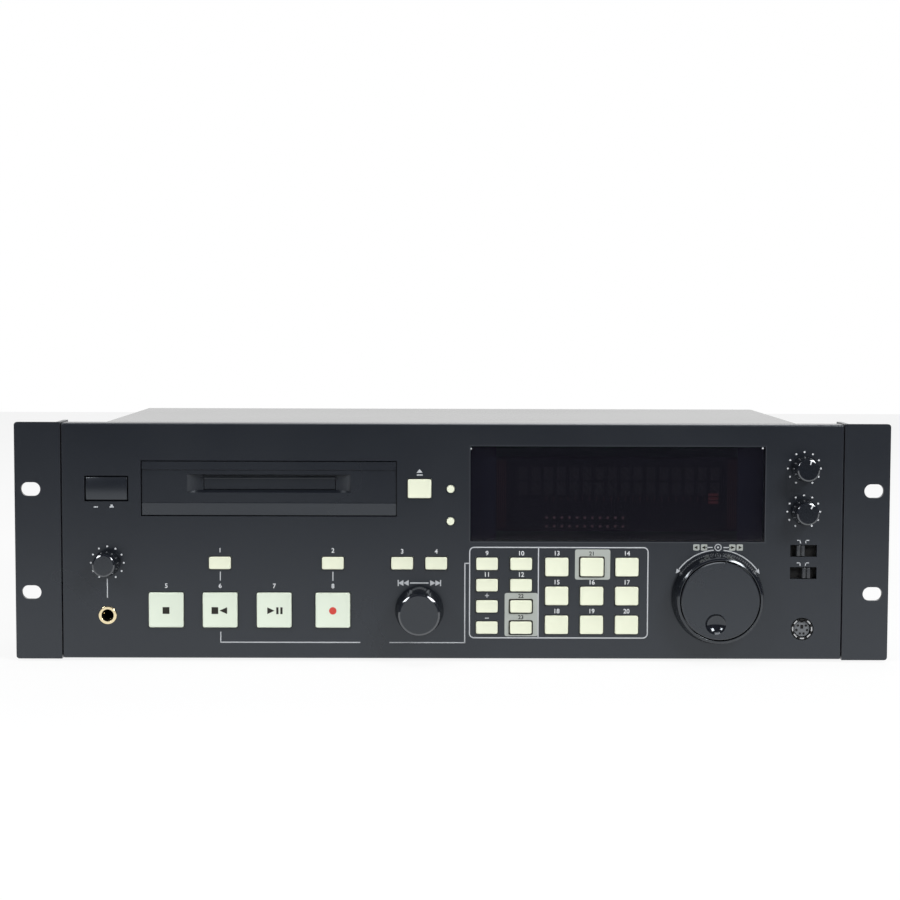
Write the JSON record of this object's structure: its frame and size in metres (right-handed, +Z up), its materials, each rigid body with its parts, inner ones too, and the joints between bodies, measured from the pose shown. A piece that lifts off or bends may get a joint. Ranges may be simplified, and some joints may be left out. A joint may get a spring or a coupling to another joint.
{
  "type": "minidisc deck",
  "caption": "Rack-mount minidisc recorder: slot with flap, push keys, level knobs, jog and shuttle dial, display window, slotted rack ears and folded case.",
  "frame": {"origin": "bottom centre of the whole deck's box, on the plane the feet stand on", "axes": "+X to the right seen from the front, +Y to the back, +Z up"},
  "size_m": [0.4826, 0.324, 0.1324],
  "materials": {
    "panel_black": "fine satin moulding",
    "ear_black": "satin black paint",
    "cover_black": "satin black paint",
    "zinc_steel": "zinc-plated",
    "foot_rubber": "matt",
    "black_screw": "black oxide",
    "smoked_window": "smoked clear",
    "tube_glass": "dark filter glass",
    "circuit_board": "solder mask",
    "transformer_iron": "varnished laminations",
    "gilt_metal": "polished",
    "socket_black": "moulded",
    "zinc_die_cast": "die-cast",
    "dial_black": "semi-gloss",
    "knob_black": "satin",
    "key_cream": "satin moulding"
  },
  "bodies": {
    "case": {"front_panel": "panel_black", "slot_bezel": "panel_black", "left_rack_ear": "ear_black", "right_rack_ear": "ear_black", "top_cover": "cover_black", "bottom_chassis": "zinc_steel", "rear_panel": "cover_black", "rubber_feet": "foot_rubber", "case_screws": "black_screw", "display_window": "smoked_window", "display_tube": "tube_glass", "front_circuit_board": "circuit_board", "main_circuit_board": "circuit_board", "power_transformer": "transformer_iron", "phones_jack": "gilt_metal", "keyboard_socket": "socket_black", "drive_frame": "zinc_steel", "rear_sockets": "socket_black"},
    "power_button": {"power_button": "panel_black"},
    "eject_button": {"eject_button": "key_cream"},
    "time_button": {"time_button": "key_cream"},
    "name_button": {"name_button": "key_cream"},
    "cue_search_button": {"cue_search_button": "key_cream"},
    "level_start_button": {"level_start_button": "key_cream"},
    "program_play_button": {"program_play_button": "key_cream"},
    "program_in_button": {"program_in_button": "key_cream"},
    "stop_button": {"stop_button": "key_cream"},
    "standby_cue_button": {"standby_cue_button": "key_cream"},
    "play_pause_button": {"play_pause_button": "key_cream"},
    "record_button": {"record_button": "key_cream"},
    "play_mode_button": {"play_mode_button": "key_cream"},
    "end_monitor_button": {"end_monitor_button": "key_cream"},
    "pitch_button": {"pitch_button": "key_cream"},
    "repeat_button": {"repeat_button": "key_cream"},
    "plus_button": {"plus_button": "key_cream"},
    "preset_a_button": {"preset_a_button": "key_cream"},
    "minus_button": {"minus_button": "key_cream"},
    "preset_b_button": {"preset_b_button": "key_cream"},
    "move_button": {"move_button": "key_cream"},
    "erase_button": {"erase_button": "key_cream"},
    "edit_button": {"edit_button": "key_cream"},
    "combine_button": {"combine_button": "key_cream"},
    "divide_button": {"divide_button": "key_cream"},
    "toc_write_button": {"toc_write_button": "key_cream"},
    "insert_button": {"insert_button": "key_cream"},
    "cue_write_button": {"cue_write_button": "key_cream"},
    "title_button": {"title_button": "key_cream"},
    "phones_level_knob": {"phones_level_knob": "knob_black"},
    "input_level_left_knob": {"input_level_left_knob": "knob_black"},
    "input_level_right_knob": {"input_level_right_knob": "knob_black"},
    "select_plunger": {"select_plunger": "zinc_steel"},
    "select_knob": {"select_knob": "knob_black"},
    "shuttle_ring": {"shuttle_ring": "dial_black"},
    "jog_dial": {"jog_dial": "dial_black"},
    "analog_digital_slider": {"analog_digital_slider": "knob_black"},
    "balance_slider": {"balance_slider": "knob_black"},
    "slot_door": {"slot_door": "panel_black"},
    "cartridge_holder": {"cartridge_holder": "zinc_steel"},
    "disc_turntable": {"disc_turntable": "zinc_steel"},
    "optical_pickup": {"optical_pickup": "zinc_die_cast"}
  },
  "joints": [
    {"name": "power_press", "type": "slide", "parent": "case", "child": "power_button", "axis": [0, 1, 0], "range_m": [0, 0.004], "stiffness_N_per_m": 500},
    {"name": "eject_press", "type": "slide", "parent": "case", "child": "eject_button", "axis": [0, 1, 0], "range_m": [0, 0.001], "stiffness_N_per_m": 800},
    {"name": "time_press", "type": "slide", "parent": "case", "child": "time_button", "axis": [0, 1, 0], "range_m": [0, 0.0008], "stiffness_N_per_m": 800},
    {"name": "name_press", "type": "slide", "parent": "case", "child": "name_button", "axis": [0, 1, 0], "range_m": [0, 0.0008], "stiffness_N_per_m": 800},
    {"name": "cue_search_press", "type": "slide", "parent": "case", "child": "cue_search_button", "axis": [0, 1, 0], "range_m": [0, 0.001], "stiffness_N_per_m": 800},
    {"name": "level_start_press", "type": "slide", "parent": "case", "child": "level_start_button", "axis": [0, 1, 0], "range_m": [0, 0.001], "stiffness_N_per_m": 800},
    {"name": "program_play_press", "type": "slide", "parent": "case", "child": "program_play_button", "axis": [0, 1, 0], "range_m": [0, 0.001], "stiffness_N_per_m": 800},
    {"name": "program_in_press", "type": "slide", "parent": "case", "child": "program_in_button", "axis": [0, 1, 0], "range_m": [0, 0.001], "stiffness_N_per_m": 800},
    {"name": "stop_press", "type": "slide", "parent": "case", "child": "stop_button", "axis": [0, 1, 0], "range_m": [0, 0.0015], "stiffness_N_per_m": 900},
    {"name": "standby_cue_press", "type": "slide", "parent": "case", "child": "standby_cue_button", "axis": [0, 1, 0], "range_m": [0, 0.0015], "stiffness_N_per_m": 900},
    {"name": "play_pause_press", "type": "slide", "parent": "case", "child": "play_pause_button", "axis": [0, 1, 0], "range_m": [0, 0.0015], "stiffness_N_per_m": 900},
    {"name": "record_press", "type": "slide", "parent": "case", "child": "record_button", "axis": [0, 1, 0], "range_m": [0, 0.0015], "stiffness_N_per_m": 900},
    {"name": "play_mode_press", "type": "slide", "parent": "case", "child": "play_mode_button", "axis": [0, 1, 0], "range_m": [0, 0.001], "stiffness_N_per_m": 800},
    {"name": "end_monitor_press", "type": "slide", "parent": "case", "child": "end_monitor_button", "axis": [0, 1, 0], "range_m": [0, 0.001], "stiffness_N_per_m": 800},
    {"name": "pitch_press", "type": "slide", "parent": "case", "child": "pitch_button", "axis": [0, 1, 0], "range_m": [0, 0.001], "stiffness_N_per_m": 800},
    {"name": "repeat_press", "type": "slide", "parent": "case", "child": "repeat_button", "axis": [0, 1, 0], "range_m": [0, 0.001], "stiffness_N_per_m": 800},
    {"name": "plus_press", "type": "slide", "parent": "case", "child": "plus_button", "axis": [0, 1, 0], "range_m": [0, 0.001], "stiffness_N_per_m": 800},
    {"name": "preset_a_press", "type": "slide", "parent": "case", "child": "preset_a_button", "axis": [0, 1, 0], "range_m": [0, 0.001], "stiffness_N_per_m": 800},
    {"name": "minus_press", "type": "slide", "parent": "case", "child": "minus_button", "axis": [0, 1, 0], "range_m": [0, 0.001], "stiffness_N_per_m": 800},
    {"name": "preset_b_press", "type": "slide", "parent": "case", "child": "preset_b_button", "axis": [0, 1, 0], "range_m": [0, 0.001], "stiffness_N_per_m": 800},
    {"name": "move_press", "type": "slide", "parent": "case", "child": "move_button", "axis": [0, 1, 0], "range_m": [0, 0.001], "stiffness_N_per_m": 800},
    {"name": "erase_press", "type": "slide", "parent": "case", "child": "erase_button", "axis": [0, 1, 0], "range_m": [0, 0.001], "stiffness_N_per_m": 800},
    {"name": "edit_press", "type": "slide", "parent": "case", "child": "edit_button", "axis": [0, 1, 0], "range_m": [0, 0.001], "stiffness_N_per_m": 800},
    {"name": "combine_press", "type": "slide", "parent": "case", "child": "combine_button", "axis": [0, 1, 0], "range_m": [0, 0.001], "stiffness_N_per_m": 800},
    {"name": "divide_press", "type": "slide", "parent": "case", "child": "divide_button", "axis": [0, 1, 0], "range_m": [0, 0.001], "stiffness_N_per_m": 800},
    {"name": "toc_write_press", "type": "slide", "parent": "case", "child": "toc_write_button", "axis": [0, 1, 0], "range_m": [0, 0.001], "stiffness_N_per_m": 800},
    {"name": "insert_press", "type": "slide", "parent": "case", "child": "insert_button", "axis": [0, 1, 0], "range_m": [0, 0.001], "stiffness_N_per_m": 800},
    {"name": "cue_write_press", "type": "slide", "parent": "case", "child": "cue_write_button", "axis": [0, 1, 0], "range_m": [0, 0.001], "stiffness_N_per_m": 800},
    {"name": "title_press", "type": "slide", "parent": "case", "child": "title_button", "axis": [0, 1, 0], "range_m": [0, 0.001], "stiffness_N_per_m": 800},
    {"name": "phones_level_turn", "type": "hinge", "parent": "case", "child": "phones_level_knob", "pos_m": [-0.1906, -0.143, 0.05464], "axis": [0, 1, 0], "range_deg": [-150, 150]},
    {"name": "input_level_left_turn", "type": "hinge", "parent": "case", "child": "input_level_left_knob", "pos_m": [0.1938, -0.143, 0.10785], "axis": [0, 1, 0], "range_deg": [-165, 135]},
    {"name": "input_level_right_turn", "type": "hinge", "parent": "case", "child": "input_level_right_knob", "pos_m": [0.1938, -0.143, 0.08392], "axis": [0, 1, 0], "range_deg": [-178, 122]},
    {"name": "select_press", "type": "slide", "parent": "case", "child": "select_plunger", "axis": [0, 1, 0], "range_m": [0, 0.0008], "stiffness_N_per_m": 2500},
    {"name": "select_turn", "type": "hinge", "parent": "select_plunger", "child": "select_knob", "pos_m": [-0.01828, -0.143, 0.0288], "axis": [0, 1, 0], "continuous": true},
    {"name": "shuttle_turn", "type": "hinge", "parent": "case", "child": "shuttle_ring", "pos_m": [0.1467, -0.143, 0.0358], "axis": [0, 1, 0], "range_deg": [-65, 65], "stiffness_Nm_per_rad": 0.06},
    {"name": "jog_turn", "type": "hinge", "parent": "case", "child": "jog_dial", "pos_m": [0.1467, -0.143, 0.0358], "axis": [0, 1, 0], "continuous": true},
    {"name": "analog_digital_slide", "type": "slide", "parent": "case", "child": "analog_digital_slider", "axis": [1, 0, 0], "range_m": [0, 0.0032]},
    {"name": "balance_slide", "type": "slide", "parent": "case", "child": "balance_slider", "axis": [1, 0, 0], "range_m": [-0.0032, 0]},
    {"name": "slot_door_swing", "type": "hinge", "parent": "case", "child": "slot_door", "pos_m": [-0.1013, -0.1373, 0.10135], "axis": [1, 0, 0], "range_deg": [0, 85], "stiffness_Nm_per_rad": 0.001},
    {"name": "holder_lower", "type": "slide", "parent": "case", "child": "cartridge_holder", "axis": [0, 0, -1], "range_m": [0, 0.005]},
    {"name": "turntable_spin", "type": "hinge", "parent": "case", "child": "disc_turntable", "pos_m": [-0.1013, -0.092, 0.0892], "axis": [0, 0, 1], "continuous": true},
    {"name": "pickup_travel", "type": "slide", "parent": "case", "child": "optical_pickup", "axis": [0, 1, 0], "range_m": [0, 0.017]}
  ]
}
